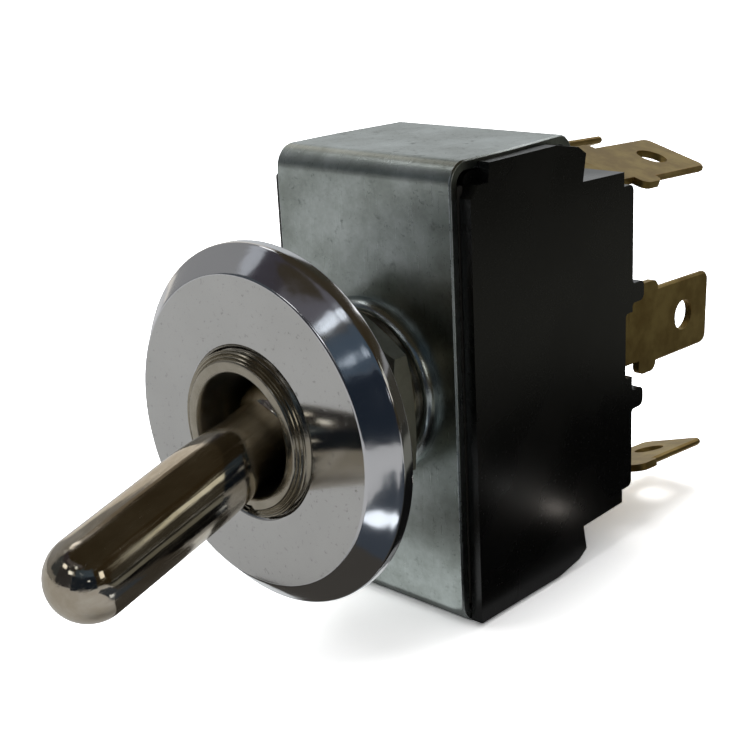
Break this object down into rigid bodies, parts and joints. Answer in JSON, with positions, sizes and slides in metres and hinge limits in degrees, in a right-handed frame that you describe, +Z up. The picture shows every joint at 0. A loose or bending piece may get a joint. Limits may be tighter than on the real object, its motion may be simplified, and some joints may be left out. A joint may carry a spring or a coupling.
{
  "type": "panel toggle switch",
  "caption": "Panel toggle switch with a chrome bat lever, threaded bushing, round bezel nut, folded steel bracket, black base and push-on blades.",
  "frame": {"origin": "on the bushing's axis, in the hex nut's front face, where the back of a panel seats", "axes": "-Y out of the panel along the bushing, +Z up along the body, +X to the right seen from behind the lever, with the lever at rest thrown towards -Z"},
  "size_m": [0.0258, 0.0625, 0.0344],
  "materials": {
    "zinc_steel": "zinc plated, lightly brushed",
    "nickel_plate": "nickel plated turned brass",
    "dark_nickel": "dark nickel plate",
    "satin_nickel": "satin face, polished bevel",
    "pin_steel": "ground",
    "fibre_card": "pressed fibre card",
    "black_moulding": "glossy black thermoset",
    "chrome_lever": "polished",
    "nylon": "natural nylon",
    "contact_brass": "satin",
    "spring_steel": "drawn wire",
    "blade_brass": "dull stamped brass",
    "contact_silver": "silver contact metal"
  },
  "bodies": {
    "body": {"bracket": "zinc_steel", "bushing": "nickel_plate", "hex_nut": "dark_nickel", "bezel_nut": "satin_nickel", "pivot_pin": "pin_steel", "insulator_card": "fibre_card", "base": "black_moulding", "terminal_centre_right": "blade_brass", "terminal_centre_left": "blade_brass", "terminal_upper_right": "blade_brass", "terminal_lower_right": "blade_brass", "terminal_upper_left": "blade_brass", "terminal_lower_left": "blade_brass", "fixed_contact_upper_right": "contact_silver", "fixed_contact_lower_right": "contact_silver", "fixed_contact_upper_left": "contact_silver", "fixed_contact_lower_left": "contact_silver"},
    "lever": {"lever": "chrome_lever", "actuator": "nylon", "plunger_spring_right": "spring_steel", "plunger_spring_left": "spring_steel"},
    "plunger_right": {"plunger_right": "contact_brass"},
    "plunger_left": {"plunger_left": "contact_brass"},
    "rocker_right": {"rocker_right": "contact_brass", "moving_contact_upper_right": "contact_silver", "moving_contact_lower_right": "contact_silver"},
    "rocker_left": {"rocker_left": "contact_brass", "moving_contact_upper_left": "contact_silver", "moving_contact_lower_left": "contact_silver"}
  },
  "joints": [
    {"name": "lever_hinge", "type": "hinge", "parent": "body", "child": "lever", "pos_m": [0, -0.00345, 0], "axis": [-1, 0, 0], "range_deg": [0, 33.8]},
    {"name": "plunger_slide_right", "type": "slide", "parent": "lever", "child": "plunger_right", "axis": [0, -0.9568, -0.2907], "range_m": [0, 0.0009], "stiffness_N_per_m": 300, "springref_m": -0.003, "deforming": ["plunger_spring_right"]},
    {"name": "plunger_slide_left", "type": "slide", "parent": "lever", "child": "plunger_left", "axis": [0, -0.9568, -0.2907], "range_m": [0, 0.0009], "stiffness_N_per_m": 300, "springref_m": -0.003, "deforming": ["plunger_spring_left"]},
    {"name": "rocker_hinge_right", "type": "hinge", "parent": "body", "child": "rocker_right", "pos_m": [0.0042, 0.019, 0], "axis": [1, 0, 0], "range_deg": [0, 13]},
    {"name": "rocker_hinge_left", "type": "hinge", "parent": "body", "child": "rocker_left", "pos_m": [-0.0042, 0.019, 0], "axis": [1, 0, 0], "range_deg": [0, 13]}
  ],
  "couplings": [
    {"joint": "rocker_hinge_right", "follows": "lever_hinge", "ratio": 0.3846},
    {"joint": "rocker_hinge_left", "follows": "lever_hinge", "ratio": 0.3846}
  ]
}
